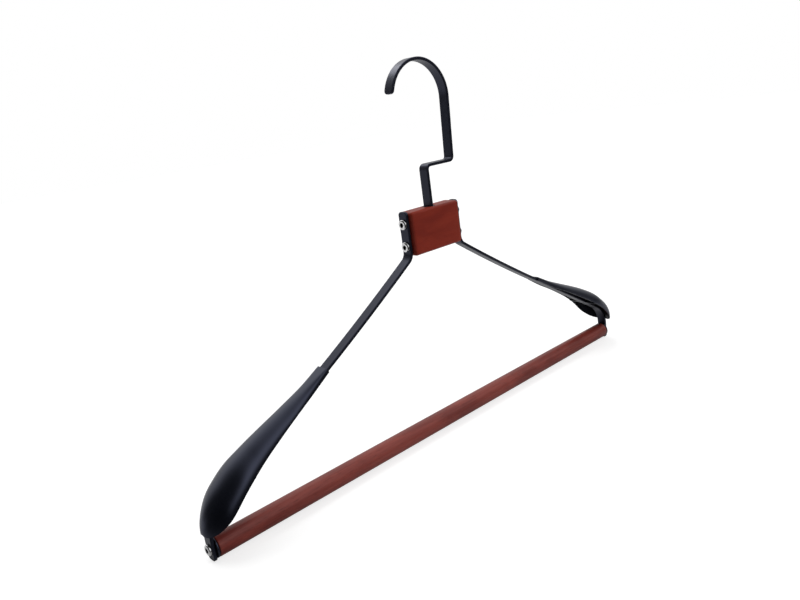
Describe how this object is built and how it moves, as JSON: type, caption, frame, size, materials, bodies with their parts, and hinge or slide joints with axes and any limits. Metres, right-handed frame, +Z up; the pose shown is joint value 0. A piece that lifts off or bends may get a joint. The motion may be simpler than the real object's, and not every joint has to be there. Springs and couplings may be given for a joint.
{
  "type": "coat hanger",
  "caption": "Coat hanger with a swivelling flat-steel hook, wooden centre block, bent strap arms, moulded shoulder rests and a round wooden trouser bar.",
  "frame": {"origin": "inside the top of the hook where it rests on the rail, straight above the hook's shank", "axes": "+X along the hanger towards the side that the hook's jog goes to, +Z up, -Y the front face"},
  "size_m": [0.4494, 0.0324, 0.2839],
  "materials": {
    "black_coat": "satin blue-black powder coat on bent steel flat bar",
    "black_plastic": "fine satin moulded plastic, blue-black",
    "mahogany": "mahogany-stained hardwood, satin lacquer, eased edges",
    "mahogany_bar": "mahogany-stained hardwood dowel, satin lacquer",
    "bright_steel": "bright chromed socket screws",
    "zinc_steel": "bright zinc plate",
    "brass": "turned brass"
  },
  "bodies": {
    "hook": {"hook": "black_coat", "hook_washer": "zinc_steel", "hook_lock_nut": "zinc_steel"},
    "hanger_frame": {"centre_block": "mahogany", "left_arm_strap": "black_coat", "right_arm_strap": "black_coat", "left_shoulder_shell": "black_plastic", "right_shoulder_shell": "black_plastic", "left_upper_block_screw": "bright_steel", "left_lower_block_screw": "bright_steel", "right_upper_block_screw": "bright_steel", "right_lower_block_screw": "bright_steel", "left_upper_block_insert": "brass", "left_lower_block_insert": "brass", "right_upper_block_insert": "brass", "right_lower_block_insert": "brass", "trouser_bar": "mahogany_bar", "left_bar_cap": "black_plastic", "right_bar_cap": "black_plastic", "left_bar_screw": "bright_steel", "right_bar_screw": "bright_steel", "left_bar_insert": "brass", "right_bar_insert": "brass"}
  },
  "joints": [
    {"name": "hook_swivel", "type": "hinge", "parent": "hook", "child": "hanger_frame", "pos_m": [0, 0, -0.10379], "axis": [0, 0, 1], "continuous": true}
  ]
}
